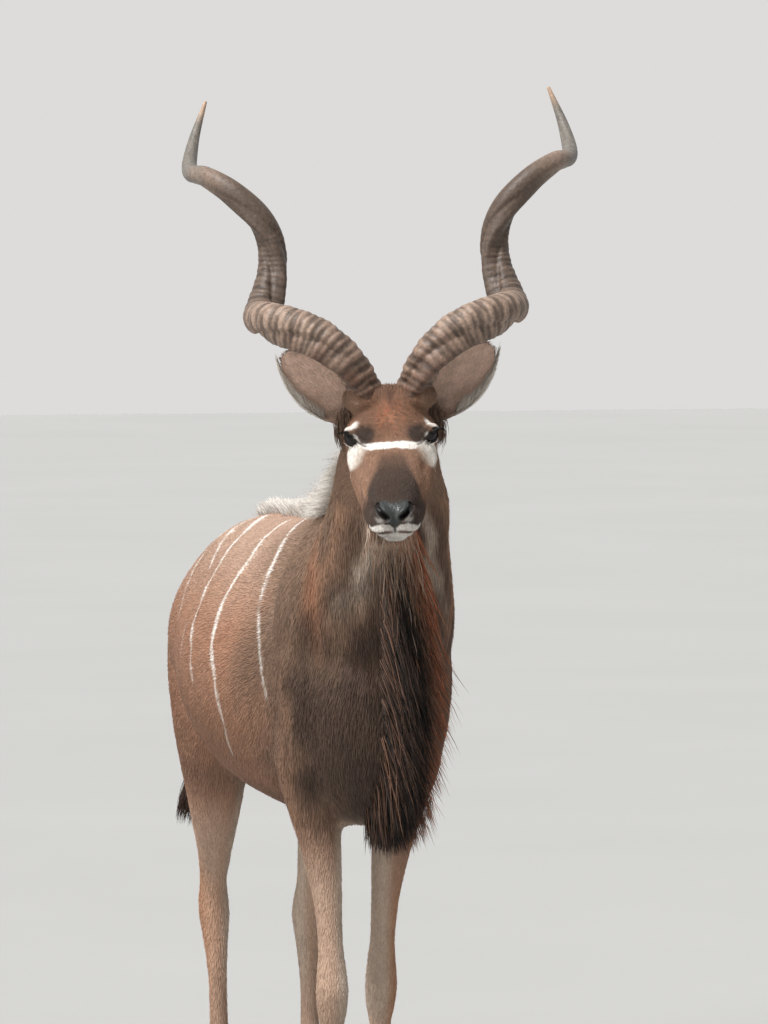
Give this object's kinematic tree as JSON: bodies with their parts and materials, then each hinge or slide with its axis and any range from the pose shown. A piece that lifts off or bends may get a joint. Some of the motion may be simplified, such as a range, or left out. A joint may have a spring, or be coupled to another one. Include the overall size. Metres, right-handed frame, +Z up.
{
  "type": "greater kudu",
  "caption": "Adult greater kudu bull standing still, with long spiral horns, throat beard, back crest and striped flanks, life-size.",
  "frame": {"origin": "on the ground under the middle of the whole animal's box", "axes": "+Z up, -Y the way the animal faces, -X its right side"},
  "size_m": [0.7813, 1.9873, 2.2634],
  "materials": {
    "body_coat": "short fawn coat with thin white stripes and a white back crest",
    "neck_coat": "grey-brown coat with a dark and rufous throat beard",
    "head_coat": "short brown coat with a white bar between the eyes, dark moist nose pad",
    "ear_coat": "short coat, pinkish brown inside, with a dark rim and a white lower fringe",
    "leg_coat": "short tan coat",
    "tail_coat": "short coat with a dark tuft",
    "horn": "ridged brown-grey horn with a paler tip",
    "hoof": "dark satin horn",
    "eye": "wet and glossy"
  },
  "bodies": {
    "root": {"head": "head_coat", "neck": "neck_coat", "torso": "body_coat", "tail": "tail_coat", "ear_right": "ear_coat", "ear_left": "ear_coat", "eye_right": "eye", "eye_left": "eye", "horn_right": "horn", "horn_left": "horn", "fore_right_upper_leg": "leg_coat", "fore_left_upper_leg": "leg_coat", "hind_right_upper_leg": "leg_coat", "hind_left_upper_leg": "leg_coat", "fore_right_lower_leg": "leg_coat", "fore_left_lower_leg": "leg_coat", "hind_right_lower_leg": "leg_coat", "hind_left_lower_leg": "leg_coat", "fore_right_hoof_outer": "hoof", "fore_right_hoof_inner": "hoof", "fore_left_hoof_outer": "hoof", "fore_left_hoof_inner": "hoof", "hind_right_hoof_outer": "hoof", "hind_right_hoof_inner": "hoof", "hind_left_hoof_outer": "hoof", "hind_left_hoof_inner": "hoof"}
  },
  "joints": []
}
